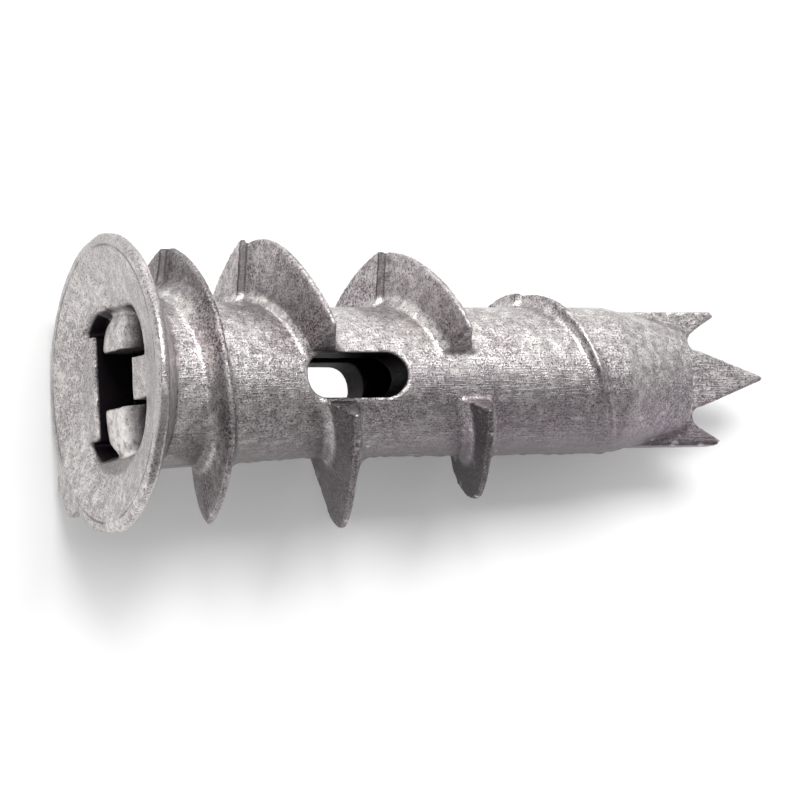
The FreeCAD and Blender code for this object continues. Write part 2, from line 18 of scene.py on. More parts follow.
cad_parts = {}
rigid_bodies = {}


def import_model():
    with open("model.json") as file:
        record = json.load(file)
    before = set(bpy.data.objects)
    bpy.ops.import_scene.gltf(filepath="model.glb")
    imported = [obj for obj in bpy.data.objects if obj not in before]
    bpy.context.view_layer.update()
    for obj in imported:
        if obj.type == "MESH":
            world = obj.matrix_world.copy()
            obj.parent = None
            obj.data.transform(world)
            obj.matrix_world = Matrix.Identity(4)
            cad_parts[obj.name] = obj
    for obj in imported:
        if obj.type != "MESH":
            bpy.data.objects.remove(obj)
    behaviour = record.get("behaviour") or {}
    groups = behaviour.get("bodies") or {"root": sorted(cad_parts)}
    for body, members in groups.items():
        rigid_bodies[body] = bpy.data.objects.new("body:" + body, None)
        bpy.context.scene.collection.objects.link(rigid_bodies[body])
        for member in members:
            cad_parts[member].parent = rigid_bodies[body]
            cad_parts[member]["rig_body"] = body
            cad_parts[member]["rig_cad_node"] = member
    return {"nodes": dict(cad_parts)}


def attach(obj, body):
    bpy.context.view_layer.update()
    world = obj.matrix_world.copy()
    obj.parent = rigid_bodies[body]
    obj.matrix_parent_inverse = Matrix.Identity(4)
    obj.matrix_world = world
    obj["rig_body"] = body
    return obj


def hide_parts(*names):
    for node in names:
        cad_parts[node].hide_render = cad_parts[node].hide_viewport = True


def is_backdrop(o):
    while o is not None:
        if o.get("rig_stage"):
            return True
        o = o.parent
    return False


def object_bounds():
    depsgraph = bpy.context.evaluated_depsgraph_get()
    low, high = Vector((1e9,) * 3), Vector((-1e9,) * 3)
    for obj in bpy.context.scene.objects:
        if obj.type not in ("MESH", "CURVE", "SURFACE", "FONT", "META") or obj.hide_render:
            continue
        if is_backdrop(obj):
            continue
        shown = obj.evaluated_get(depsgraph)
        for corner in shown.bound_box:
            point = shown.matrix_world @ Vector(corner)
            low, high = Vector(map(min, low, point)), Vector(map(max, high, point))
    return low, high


bl_info = {
    "name": "Cast drywall anchor",
    "version": (1, 0, 0),
    "blender": (4, 5, 0),
    "location": "View3D > Sidebar > Anchor",
    "description": "Builds the cast surface, the zinc finish and the table of a drywall anchor",
    "category": "Object",
}

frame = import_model()
CAD_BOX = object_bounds()
MM = 0.001

# Pose of the anchor's own axes in the frame: tipped nose-down about Y after a roll about the axis
NOSE_DOWN = math.radians(6.60)
ROLL = math.radians(93.1)
OWN_TURN = Matrix.Rotation(NOSE_DOWN, 3, "Y") @ Matrix.Rotation(-ROLL, 3, "X")

# Distance at which points of the CAD mesh count as one
MERGE = 0.001 * MM

# Barrel, in millimetres: its radius falls from the hub to the taper's end, and the nose starts further on
HUB_X = 1.90
HUB_R = 3.75
TAPER_X = 9.70
BARREL_R = 3.30
NOSE_X = 24.00

# Drive ribs, in millimetres: half width, and the stretches that they fill from the axis and along X
RIB_HALF = 1.62
RIB_INNER = 1.30
RIB_OUTER = 3.00
RIB_FRONT = 0.60
RIB_BACK = 4.50
# How far the lower rib is moved towards the axis, and where that fades out
LOW_RIB_SHIFT = 0.45
LOW_RIB_FADE = (1.5, 2.4)
# How far both ribs are widened at the far side, where along Y, and where that fades out
RIB_WIDER = 0.30
RIB_WIDER_FROM = (0.7, 1.45)
RIB_WIDER_FADE = (2.4, 3.0)

# Domes on the ribs' fronts, in millimetres: foot and rise along X, and the stretch that they fill
DOME_FOOT = 2.25
DOME_RISE = 1.62
DOME_OUTER = 3.50
DOME_BACK = 2.30
# Reach to the near side, flat stretch, reach past it to the far side, highest line and reach outwards
DOME_NEAR = 1.55
DOME_FLAT = 0.90
DOME_FAR = 1.30
DOME_HIGH = 1.45
DOME_OUT = 2.60

# Recess wall behind the domes, in millimetres: half height at the mouth, and its slope
MOUTH_HALF = 3.52
WALL_IN = 0.77
WALL_DEEP = 2.23
WALL_START = -0.13

# Lean of the first turn, in millimetres: at the axis, the change for each millimetre up, and where it acts
LEAN = 0.27
LEAN_UP = 0.055
LEAN_RADII = (3.9, 4.6)
LEAN_BEHIND_HEAD = (0.15, 0.70)
LEAN_FADE = (4.9, 6.3)
# Cone under the head: edge along X, edge radius, and its fall in radius over a length
CONE_X = 0.50
CONE_R = 6.37
CONE_FALL = 2.62
CONE_LENGTH = 1.40

# Dished face, in millimetres: points in front of this place belong to it, and a ring marks its edge
FACE_X = 0.62
RING_R = 6.0

# Burr on the face, in millimetres along Y and Z: thin end, end at the recess, half widths and heights
BURR_START = np.array((2.15, 5.05))
BURR_END = np.array((0.15, 3.40))
BURR_THIN = 0.16
BURR_WIDER = 0.24
BURR_LIFT = 0.34
BURR_START_SHARE = 0.35

# Most straight stretches in a rough line
MOST_STRETCHES = 4000

# Nicks in the rim: spacing in degrees, height in millimetres, mean share and where they are
NICK_STEP = 9.0
NICK_DEEP = 0.10
NICK_MEAN = 0.6
NICK_SEED = 11
NICK_RADII = (6.1, 6.45)
RIM_END_R = 6.6
RIM_BACK = 0.8

# Flash on the lower parting line, in millimetres: spacing, height, half width and where it is
FLASH_STEP = 0.22
FLASH_HIGH = 0.11
FLASH_HALF = 0.20
FLASH_SEED = 12
FLASH_RADII = (3.1, 3.7)
FLASH_X = (4.5, 26.5)

# Ends of the fins beside the slot, in millimetres
FIN_END_SIDE = 3.8
FIN_END_HEIGHTS = (0.8, 2.5)
FIN_END_X = (6.4, 19.5)

# Place along X at which the picture's direction looks through the slot, in millimetres
SLOT_SIGHT = 9.4
# Radii of the painted light on the table where the camera sees it through the slot, which takes away the
# anchor's shadow there, and the cosines at which it fades
PAINTED_LIGHT_EDGE = (2.6 * MM, 2.2 * MM)
PAINTED_LIGHT_FACING = (0.97, 0.99)

# Lamps: name, place from the target, width and depth in metres, and share of the long lamp's power
LAMPS = (
    ("long_lamp", (0.01, 0.19, 0.29), 0.22, 0.12, 1.0),
    ("left_lamp", (-0.30, 0.02, 0.10), 0.16, 0.24, 0.10),
    ("low_strip", (0, 0.34, 0.080), 0.50, 0.05, 0.32),
)
# Headings along Y between which the soft light grows from front to back
SKY_FROM = -0.7
SKY_TO = 1.0


class CastingSizes(bpy.types.PropertyGroup):
    """Sizes of the softened edges and the unevenness of the cast surface."""

    voxel: FloatProperty(
        name="Voxel", description="Grid on which the casting's surface is rebuilt",
        default=0.085 * MM, unit="LENGTH", precision=6)
    soften_rounds: IntProperty(
        name="Soften rounds", description="How often the edges are smoothed", default=2, min=0)
    wear_rounds: IntProperty(
        name="Wear rounds", description="How often the fins' ends beside the slot are smoothed",
        default=26, min=0)
    ripple_depth: FloatProperty(
        name="Ripple depth", description="Depth of the broad unevenness", default=0.012 * MM,
        unit="LENGTH", precision=6)
    ripple_size: FloatProperty(
        name="Ripple size", description="Length of the broad unevenness", default=1.1 * MM,
        unit="LENGTH", precision=6)
    faces: IntProperty(
        name="Triangles", description="Most triangles that the casting keeps", default=190000, min=1000)
    crease: FloatProperty(
        name="Crease", description="Angle past which an edge stays sharp", default=math.radians(50),
        subtype="ANGLE")


class ZincFinish(bpy.types.PropertyGroup):
    """Colours and texture sizes of the bare cast zinc."""

    # Also used as painted highlight on sharp edges and on the drive ribs' fronts
    bright: FloatVectorProperty(
        name="Bright zinc", description="Clean, rubbed metal", subtype="COLOR", size=4, min=0, max=1,
        default=(0.82, 0.785, 0.76, 1))
    dull: FloatVectorProperty(
        name="Dull zinc", description="Metal as it leaves the die", subtype="COLOR", size=4, min=0, max=1,
        default=(0.42, 0.395, 0.39, 1))
    # Dark specks and grain of oxide, and also painted shade in corners, on the -Z side and on the parting
    # steps
    shade: FloatVectorProperty(
        name="Dark skin", description="Dark oxide in specks and corners", subtype="COLOR", size=4,
        min=0, max=1, default=(0.085, 0.075, 0.078, 1))
    # Also used as painted shade on the -Z side towards the nose
    violet: FloatVectorProperty(
        name="Violet skin", description="Faint violet oxide", subtype="COLOR", size=4, min=0, max=1,
        default=(0.27, 0.205, 0.265, 1))
    # Painted shade: near-black colour of the bore, the slot and the recess
    inside: FloatVectorProperty(
        name="Inside", description="Soot-dark walls of the bore, the slot and the recess", subtype="COLOR",
        size=4, min=0, max=1, default=(0.022, 0.018, 0.022, 1))
    gloss: FloatProperty(
        name="Roughness", description="Roughness of the satin skin", default=0.31, min=0, max=1)
    dry: FloatProperty(
        name="Dry skin", description="Further roughness of the fins and the inside", default=0.16,
        min=0, max=1)
    mottle: FloatProperty(
        name="Mottle size", description="Size of the light and dark patches", default=0.42 * MM,
        unit="LENGTH", precision=6)
    cloud: FloatProperty(
        name="Cloud size", description="Size of the areas with more or less oxide", default=2.6 * MM,
        unit="LENGTH", precision=6)
    grain: FloatProperty(
        name="Grain size", description="Size of the dark grain", default=0.10 * MM, unit="LENGTH",
        precision=6)
    speck: FloatProperty(
        name="Speck size", description="Size of the dark specks", default=0.075 * MM, unit="LENGTH",
        precision=6)
    streak: FloatProperty(
        name="Streak width", description="Width of the fine streaks along the barrel",
        default=0.055 * MM, unit="LENGTH", precision=6)
    stretch: FloatProperty(
        name="Streak stretch", description="How many times longer than wide a streak is", default=20, min=1)
    relief: FloatProperty(
        name="Relief", description="Height of the fine relief", default=0.03 * MM, unit="LENGTH",
        precision=6)


class StageSizes(bpy.types.PropertyGroup):
    """Camera, lamps and table."""

    target: FloatVectorProperty(
        name="Target", description="Point at the middle of the picture", subtype="XYZ", size=3,
        default=(14.07 * MM, -0.80 * MM, -1.82 * MM))
    distance: FloatProperty(
        name="Distance", description="From the camera to the target", default=212 * MM, unit="LENGTH")
    azimuth: FloatProperty(
        name="Azimuth", description="Heading of the view, from +Y towards +X",
        default=math.radians(83.25), subtype="ANGLE")
    elevation: FloatProperty(
        name="Elevation", description="How far the camera looks down", default=math.radians(71.33),
        subtype="ANGLE")
    tilt: FloatProperty(
        name="Tilt", description="Roll of the camera about its line of sight",
        default=math.radians(82.08), subtype="ANGLE")
    lens: FloatProperty(name="Lens", description="Focal length in millimetres", default=215.2, min=1)
    sensor: FloatProperty(
        name="Sensor", description="Width of the camera's sensor in millimetres", default=36, min=1)
    near_clip: FloatProperty(
        name="Near clip", description="Nearest distance that the camera sees", default=5 * MM,
        unit="LENGTH")
    table_size: FloatProperty(
        name="Table size", description="Side of the square table", default=3.0, unit="LENGTH")
    table: FloatVectorProperty(
        name="Table", description="Colour of the table", subtype="COLOR", size=4, min=0, max=1,
        default=(0.92, 0.92, 0.92, 1))
    lift: FloatProperty(
        name="White lift", description="Light that the table itself adds for the camera", default=0.06,
        min=0)
    # Painted light on the table: takes away the anchor's shadow where the camera sees the table through the
    # slot
    slot_painted_light: FloatProperty(
        name="White in the slot", description="More of that light where the camera looks through the slot",
        default=0.70, min=0)
    sky_front: FloatProperty(
        name="Sky in front", description="Strength of the soft light from -Y", default=0.50, min=0)
    sky_back: FloatProperty(
        name="Sky behind", description="Strength of the soft light from +Y", default=1.10, min=0)
    lamp: FloatProperty(name="Lamp", description="Power of the long lamp", default=0.94, min=0)


def settings():
    """The sizes of the casting, its finish and the stage."""
    scene = bpy.context.scene
    return scene.anchor_casting, scene.anchor_finish, scene.anchor_stage


def select_only(piece):
    """Makes one object the only selected and the active one."""
    for other in bpy.context.view_layer.objects:
        other.select_set(False)
    piece.select_set(True)
    bpy.context.view_layer.objects.active = piece


def apply_modifier(piece, kind, **values):
    """Adds a modifier, sets it up and applies it."""
    modifier = piece.modifiers.new(kind.title(), kind)
    for name, value in values.items():
        setattr(modifier, name, value)
    select_only(piece)
    bpy.ops.object.modifier_apply(modifier=modifier.name)


def smooth(piece, rounds, group=""):
    """Evens a surface out a number of times, all over or in one vertex group."""
    if rounds:
        apply_modifier(piece, "SMOOTH", factor=0.5, iterations=rounds, vertex_group=group)


def triangle_count(piece):
    """How many triangles a piece's faces make."""
    piece.data.calc_loop_triangles()
    return len(piece.data.loop_triangles)


def smooth_step(value, low, high):
    """Rises smoothly from 0 at low to 1 at high."""
    share = np.clip((value - low) / (high - low), 0, 1)
    return share * share * (3 - 2 * share)


def between(value, low, high):
    """True where a value lies between two limits."""
    return (value > low) & (value < high)


def rough_line(place, step, seed):
    """Random heights from 0 to 1 along a line, joined by straight stretches."""
    draws = np.random.default_rng(seed).random(MOST_STRETCHES)
    spot = (place - place.min()) / step
    return np.interp(spot, np.arange(len(draws)), draws)


def round_drive_ribs(x, y, z):
    """The fronts of the upper and the lower drive rib are domes that run into the recess wall.

    The lower rib reaches nearer to the axis than the upper one.
    """
    high = np.abs(z)
    near_share = (np.minimum(y, 0) / DOME_NEAR) ** 2
    far_share = (np.maximum(y - DOME_FLAT, 0) / DOME_FAR) ** 2
    share = near_share + far_share + ((high - DOME_HIGH) / DOME_OUT) ** 2
    dome = DOME_FOOT - DOME_RISE * np.sqrt(np.clip(1 - share, 0, 1))
    wall = (MOUTH_HALF - high) / WALL_IN * WALL_DEEP + WALL_START
    in_line = np.abs(y) < RIB_HALF
    domes = in_line & between(high, RIB_INNER, DOME_OUTER) & between(x, RIB_FRONT, DOME_BACK)
    x = np.where(domes, np.maximum(x, np.minimum(dome, wall)), x)
    ribs = in_line & between(high, RIB_INNER, RIB_OUTER) & between(x, RIB_FRONT, RIB_BACK)
    z = z + LOW_RIB_SHIFT * ribs * (z < 0) * (1 - smooth_step(high, *LOW_RIB_FADE))
    wider = smooth_step(y, *RIB_WIDER_FROM) * (1 - smooth_step(high, *RIB_WIDER_FADE))
    y = y + RIB_WIDER * ribs * wider
    return x, y, z


def lean_first_fin(x, y, z):
    """The first turn stands further from the head at its top than at its bottom."""
    radius = np.hypot(y, z)
    cone = CONE_X + (CONE_R - radius) / CONE_FALL * CONE_LENGTH
    weight = smooth_step(radius, *LEAN_RADII) * smooth_step(x - cone, *LEAN_BEHIND_HEAD)
    return x + (LEAN + LEAN_UP * z) * weight * (1 - smooth_step(x, *LEAN_FADE))


def raise_burr(x, y, z):
    """A tapering burr on the face above the recess, highest where it meets the recess."""
    line = BURR_END - BURR_START
    from_y, from_z = y - BURR_START[0], z - BURR_START[1]
    along = np.clip((from_y * line[0] + from_z * line[1]) / (line @ line), 0, 1)
    away = np.hypot(from_y - along * line[0], from_z - along * line[1])
    width = BURR_THIN + BURR_WIDER * along
    high = BURR_LIFT * (BURR_START_SHARE + (1 - BURR_START_SHARE) * along)
    return x - high * np.clip(1 - away / width, 0, 1) * (x < FACE_X)


def rough_rim_and_flash(x, y, z):
    """Nicks in the rim, and the ragged flash that the die leaves along the lower parting line."""
    radius = np.hypot(y, z)
    angle = np.degrees(np.arctan2(y, z))
    nicks = (rough_line(angle, NICK_STEP, NICK_SEED) - NICK_MEAN) * NICK_DEEP
    nicks = nicks * smooth_step(radius, *NICK_RADII) * (x < RIM_BACK) * (radius < RIM_END_R)
    flash = rough_line(x, FLASH_STEP, FLASH_SEED) ** 2 * FLASH_HIGH
    flash = flash * np.clip(1 - np.abs(y) / FLASH_HALF, 0, 1)
    flash = flash * (z < 0) * between(radius, *FLASH_RADII) * between(x, *FLASH_X)
    scale = 1 + (nicks + flash) / np.maximum(radius, 1)
    return y * scale, z * scale


def own_points(casting):
    """The casting's points as x, y and z, in millimetres along the anchor's own axes."""
    points = np.empty(len(casting.data.vertices) * 3, dtype=np.float32)
    casting.data.vertices.foreach_get("co", points)
    return (points.reshape(-1, 3) @ np.array(OWN_TURN) / MM).T


def reshape_casting(casting):
    """Moves the casting's points where its skin differs from the CAD solid's."""
    x, y, z = own_points(casting)
    x, y, z = round_drive_ribs(x, y, z)
    x = lean_first_fin(x, y, z)
    x = raise_burr(x, y, z)
    y, z = rough_rim_and_flash(x, y, z)
    moved = np.stack([x, y, z], axis=1) @ np.array(OWN_TURN).T * MM
    casting.data.vertices.foreach_set("co", moved.astype(np.float32).ravel())
    casting.data.update()


def group_fin_ends(casting):
    """A vertex group with the ends of the fins beside the slot."""
    x, y, z = own_points(casting)
    ends = (np.abs(y) > FIN_END_SIDE) & between(np.abs(z), *FIN_END_HEIGHTS) & between(x, *FIN_END_X)
    group = casting.vertex_groups.new(name="fin_ends")
    group.add([int(k) for k in np.flatnonzero(ends)], 1.0, "REPLACE")
    return group.name


def copy_of_cad_node(name):
    """A free copy of the CAD solid with its doubled points merged."""
    select_only(frame["nodes"]["anchor_body"])
    bpy.ops.object.duplicate()
    copy = bpy.context.view_layer.objects.active
    copy.name = name
    copy.data.name = name
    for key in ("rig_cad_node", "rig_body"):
        if key in copy:
            del copy[key]
    copy.parent = None
    bpy.ops.object.mode_set(mode="EDIT")
    bpy.ops.mesh.select_all(action="SELECT")
    bpy.ops.mesh.remove_doubles(threshold=MERGE)
    bpy.ops.mesh.normals_make_consistent(inside=False)
    bpy.ops.object.mode_set(mode="OBJECT")
    return copy


def ripple_skin(casting, sizes):
    """Shallow, broad unevenness all over the casting."""
    ripple = bpy.data.textures.new("die_ripple", "CLOUDS")
    ripple.noise_scale = sizes.ripple_size
    ripple.noise_depth = 1
    apply_modifier(casting, "DISPLACE", texture=ripple, strength=sizes.ripple_depth, mid_level=0.5,
                   texture_coords="LOCAL")


class ANCHOR_OT_casting(bpy.types.Operator):
    """Rebuild the casting's surface with softened edges and ripples"""

    bl_idname = "anchor.casting"
    bl_label = "Casting"

    def execute(self, context):
        sizes = settings()[0]
        casting = copy_of_cad_node("zinc_casting")
        apply_modifier(casting, "REMESH", mode="VOXEL", voxel_size=sizes.voxel)
        reshape_casting(casting)
        apply_modifier(casting, "REMESH", mode="VOXEL", voxel_size=sizes.voxel)
        smooth(casting, sizes.soften_rounds)
        smooth(casting, sizes.wear_rounds, group_fin_ends(casting))
        ripple_skin(casting, sizes)
        share = sizes.faces / triangle_count(casting)
        if share < 1:
            apply_modifier(casting, "DECIMATE", ratio=share)
        select_only(casting)
        bpy.ops.object.shade_smooth_by_angle(angle=sizes.crease)
        casting.data.materials.clear()
        casting.data.materials.append(zinc_material())
        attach(casting, "root")
        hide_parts("anchor_body")
        return {"FINISHED"}


class Graph:
    """Short calls for the nodes of one material or world."""

    def __init__(self, owner):
        owner.use_nodes = True
        self.tree = owner.node_tree
        self.tree.nodes.clear()

    def node(self, kind, links=(), **values):
        """A node with its settings and plain inputs set, and its inputs linked."""
        made = self.tree.nodes.new(kind)
        for name, value in values.items():
            if name in made.bl_rna.properties:
                setattr(made, name, value)
            else:
                made.inputs[name.replace("_", " ")].default_value = value
        for socket, source in dict(links).items():
            self.tree.links.new(source, made.inputs[socket])
        return made

    def fill(self, socket, value):
        """Links a socket to an input, or sets the input to a plain value."""
        if isinstance(value, bpy.types.NodeSocket):
            self.tree.links.new(value, socket)
        else:
            socket.default_value = value

    def noise(self, vector, length, detail, rough):
        """Soft random pattern with patches of about the given length."""
        made = self.node("ShaderNodeTexNoise", {"Vector": vector}, Scale=1.0 / length, Detail=detail,
                         Roughness=rough)
        return made.outputs["Fac"]

    def ramp(self, factor, low, high, start=0.0, end=1.0):
        """Maps low..high to start..end, clamped."""
        made = self.node("ShaderNodeMapRange", {"Value": factor}, clamp=True, From_Min=low, From_Max=high,
                         To_Min=start, To_Max=end)
        return made.outputs["Result"]

    def fade(self, place, low, high):
        """Rises from 0 at low to 1 at high, both in millimetres."""
        return self.ramp(place, low * MM, high * MM)

    def mix(self, factor, under, over):
        """The colour over laid on the colour under."""
        made = self.node("ShaderNodeMix", data_type="RGBA")
        self.fill(made.inputs[0], factor)
        self.fill(made.inputs[6], under)
        self.fill(made.inputs[7], over)
        return made.outputs[2]

    def maths(self, operation, *values):
        """One sum of one or two values."""
        made = self.node("ShaderNodeMath", operation=operation)
        for socket, value in zip(made.inputs, values):
            self.fill(socket, value)
        return made.outputs[0]

    def product(self, first, *others):
        """All the values multiplied."""
        for other in others:
            first = self.maths("MULTIPLY", first, other)
        return first

    def greater(self, a, b):
        """The greater of two values."""
        return self.maths("MAXIMUM", a, b)

    def away(self, place, middle):
        """Distance from a middle, given in millimetres."""
        return self.maths("ABSOLUTE", self.maths("SUBTRACT", place, middle * MM))


class ZincSkin:
    """The skin's colour, laid on coat by coat through masks along the anchor's own axes."""

    def __init__(self, graph, finish):
        self.graph = graph
        self.finish = finish
        place = graph.node("ShaderNodeTexCoord").outputs["Object"]
        own = graph.node("ShaderNodeMapping", {"Vector": place}, vector_type="TEXTURE",
                         Rotation=(-ROLL, NOSE_DOWN, 0)).outputs["Vector"]
        lengthwise = graph.node("ShaderNodeMapping", {"Vector": own}, Scale=(1 / finish.stretch, 1, 1))
        split = graph.node("ShaderNodeSeparateXYZ", {"Vector": own})
        self.x, self.y, self.z = (split.outputs[axis] for axis in "XYZ")
        squares = graph.maths("ADD", graph.product(self.y, self.y), graph.product(self.z, self.z))
        self.radius = graph.maths("SQRT", squares)

        self.mottle = graph.noise(own, finish.mottle, 4.0, 0.65)
        self.grain = graph.noise(own, finish.grain, 3.0, 0.6)
        self.speck = graph.noise(own, finish.speck, 2.0, 0.5)
        self.cloud = graph.noise(own, finish.cloud, 3.0, 0.55)
        self.streak = graph.noise(lengthwise.outputs["Vector"], finish.streak, 2.0, 0.55)

        barrel = graph.ramp(self.x, HUB_X * MM, TAPER_X * MM, HUB_R * MM, BARREL_R * MM)
        proud = graph.maths("SUBTRACT", self.radius, barrel)
        self.on_barrel = graph.fade(proud, 0.30, 0.12)
        self.on_fins = graph.product(graph.fade(proud, 0.25, 0.60), graph.fade(self.x, 1.4, HUB_X))
        self.on_face = graph.fade(self.x, FACE_X, 0.54)

    def lay(self, colour, strength, *masks):
        """Lays a colour over the skin where all the masks are high."""
        self.tone = self.graph.mix(self.graph.product(*masks, strength), self.tone, colour)

    def mottled_zinc(self):
        """Patches of bright and dull metal, with fine streaks along the barrel."""
        graph, finish = self.graph, self.finish
        self.tone = graph.mix(graph.ramp(self.mottle, 0.40, 0.60), finish.dull, finish.bright)
        self.lines = graph.product(graph.ramp(self.streak, 0.48, 0.57), self.on_barrel)
        self.lay(finish.dull, 0.58, self.lines)

    def oxide(self):
        """Violet oxide in patches and on the fins; painted shade, violet and then dark, on the -Z side
        towards the nose and on the barrel's lower edge; darker on the first turn and duller on the face.
        """
        graph, finish = self.graph, self.finish
        self.lay(finish.violet, 0.60, graph.ramp(self.cloud, 0.45, 0.68), graph.ramp(self.grain, 0.42, 0.58))
        # Painted shade on the -Z side, growing towards the nose: tinted violet, and dark on the fins
        painted_shade_low_nose = graph.product(graph.fade(self.z, 1.2, -3.2), graph.fade(self.x, 2.0, 18.0))
        self.lay(finish.violet, 0.72, painted_shade_low_nose)
        self.lay(finish.violet, 0.28, self.on_fins)
        self.lay(finish.shade, 1.0, painted_shade_low_nose, self.on_fins)
        # Painted shade on the barrel's edge towards -Z
        self.lay(finish.shade, 0.72, graph.fade(self.z, -2.0, -3.1), self.on_barrel)
        # Darker on the first turn, most towards +Z
        first_turn = graph.product(graph.fade(self.x, 6.0, 4.0), graph.fade(self.z, -3.0, 2.0))
        self.lay(finish.shade, 0.48, first_turn, self.on_fins)
        # Duller on the face towards +Z and towards -Y, and a little all over
        upper_face = graph.greater(graph.fade(self.z, 1.5, 6.5), graph.fade(self.y, -3.2, -6.0))
        self.lay(finish.dull, 0.85, graph.greater(upper_face, 0.35), self.on_face)

    def grain_and_specks(self):
        """Fine dark grain, denser on the fins, with specks all over."""
        graph, finish = self.graph, self.finish
        density = graph.product(graph.ramp(self.cloud, 0.30, 0.58), graph.ramp(self.on_fins, -0.65, 1.00))
        density = graph.greater(density, graph.product(self.on_fins, 0.35))
        self.lay(finish.shade, 1.0, graph.ramp(self.grain, 0.47, 0.61), density)
        self.lay(finish.shade, 0.80, graph.ramp(self.speck, 0.55, 0.64))
        self.lay(finish.dull, 0.40, graph.ramp(self.grain, 0.47, 0.38), self.on_fins)

    def edges(self):
        """Sharp edges are lighter, partly rubbed metal and partly painted highlight; corners and creases get
        painted shade.
        """
        graph, finish = self.graph, self.finish
        sharp = graph.node("ShaderNodeNewGeometry").outputs["Pointiness"]
        # Rubbed metal and painted highlight on sharp edges
        self.lay(finish.bright, 0.50, graph.ramp(sharp, 0.560, 0.66))
        # Painted shade in corners and creases
        self.lay(finish.shade, 0.75, graph.ramp(sharp, 0.470, 0.42))

    def parting_steps_and_ring(self):
        """Steps of the fins at the upper parting line, darkened partly as deposit and partly as painted
        shade, and a broken dark ring on the face.
        """
        graph, finish = self.graph, self.finish
        parting = graph.fade(graph.away(self.y, 0.0), 0.10, 0.06)
        # Dark steps: partly deposit, partly painted shade
        self.lay(finish.shade, 0.9, parting, self.on_fins, graph.fade(self.z, 3.2, 3.4))
        ring = graph.fade(graph.away(self.radius, RING_R), 0.075, 0.03)
        self.lay(finish.shade, 0.75, ring, graph.fade(self.x, 0.35, 0.25), graph.ramp(self.cloud, 0.40, 0.55))

    def drive_ribs(self):
        """Mask of the drive ribs' fronts, which the light reaches."""
        graph = self.graph
        lengths = graph.greater(graph.fade(self.z, 1.36, 1.44), graph.fade(self.z, -0.92, -1.0))
        domes = graph.product(graph.fade(graph.away(self.y, 0.15), 1.76, 1.68), lengths)
        height = graph.away(self.z, 0.0)
        side_rib = graph.product(graph.fade(self.y, -2.02, -2.10), graph.fade(height, 1.0, 0.94))
        lit_side = graph.greater(graph.fade(self.y, -1.35, -0.35), side_rib)
        return graph.product(graph.greater(domes, side_rib), graph.fade(self.x, 2.2, 1.1), lit_side)

    def inside_shade_and_rib_light(self):
        """Painted shade: a near-black bore, slot and recess, and a painted highlight on the drive ribs'
        fronts.
        """
        graph, finish = self.graph, self.finish
        ribs = self.drive_ribs()
        # Painted highlight on the drive ribs' fronts, stronger towards -Z
        fronts = graph.product(ribs, graph.fade(self.x, 0.55, FACE_X), graph.ramp(self.mottle, 0.30, 0.55))
        self.lay(finish.bright, 1.0, fronts, graph.fade(self.z, 4.0, -2.5))
        bore = graph.product(graph.fade(self.radius, 3.24, 3.12), graph.fade(self.x, 2.2, 2.4))
        lobes = graph.product(graph.fade(self.radius, 4.12, 4.05), graph.fade(self.x, 1.65, 1.55))
        mouth = graph.product(graph.fade(self.radius, 3.66, 3.58), graph.fade(self.x, 2.5, 2.3))
        deep = graph.greater(graph.maths("SUBTRACT", graph.fade(self.x, 0.60, 0.72), ribs), 0.0)
        recess = graph.product(graph.greater(mouth, lobes), deep)
        # Painted shade: near-black bore, slot and recess
        self.inside = graph.product(graph.greater(bore, recess), graph.fade(self.x, NOSE_X, 23.9))
        self.lay(finish.inside, 1.0, self.inside)

    def relief(self):
        """Height of the fine relief, from the same patterns as the colour."""
        graph = self.graph
        height = graph.maths("ADD", graph.product(self.grain, 0.9), graph.product(self.speck, 0.7))
        height = graph.maths("ADD", height, graph.product(self.lines, 0.35))
        return graph.maths("ADD", height, graph.product(self.mottle, 0.9))


def zinc_material():
    """Bare cast zinc: mottled skin, dark grain, streaks along the barrel, partly rubbed and partly painted
    bright edges, painted shade below, in corners and inside, and painted highlights on the drive ribs.
    """
    finish = settings()[1]
    material = bpy.data.materials.new("cast_zinc_satin")
    graph = Graph(material)
    skin = ZincSkin(graph, finish)
    skin.mottled_zinc()
    skin.oxide()
    skin.grain_and_specks()
    skin.edges()
    skin.parting_steps_and_ring()
    skin.inside_shade_and_rib_light()
    dry = graph.greater(skin.on_fins, skin.inside)
    rough = graph.ramp(dry, 0.0, 1.0, finish.gloss, finish.gloss + finish.dry)
    bump = graph.node("ShaderNodeBump", {"Height": skin.relief()}, Strength=0.55, Distance=finish.relief)
    shader = graph.node(
        "ShaderNodeBsdfPrincipled",
        {"Base Color": skin.tone, "Roughness": rough, "Normal": bump.outputs["Normal"]},
        Metallic=1.0)
    graph.node("ShaderNodeOutputMaterial", {"Surface": shader.outputs["BSDF"]})
    return material


def sight_line():
    """Direction in which the camera looks."""
    stage = settings()[2]
    level = math.cos(stage.elevation)
    down = math.sin(stage.elevation)
    return Vector((level * math.sin(stage.azimuth), level * math.cos(stage.azimuth), -down))


def camera_place():
    """Place from which the camera looks at the target."""
    stage = settings()[2]
    return Vector(stage.target) - sight_line() * stage.distance


def seen_through_slot():
    """Place on the table that the camera sees through the slot."""
    slot = OWN_TURN @ Vector((SLOT_SIGHT, 0, 0)) * MM
    eye = camera_place()
    reach = (eye.z - CAD_BOX[0][2]) / (eye.z - slot.z)
    return eye + (slot - eye) * reach


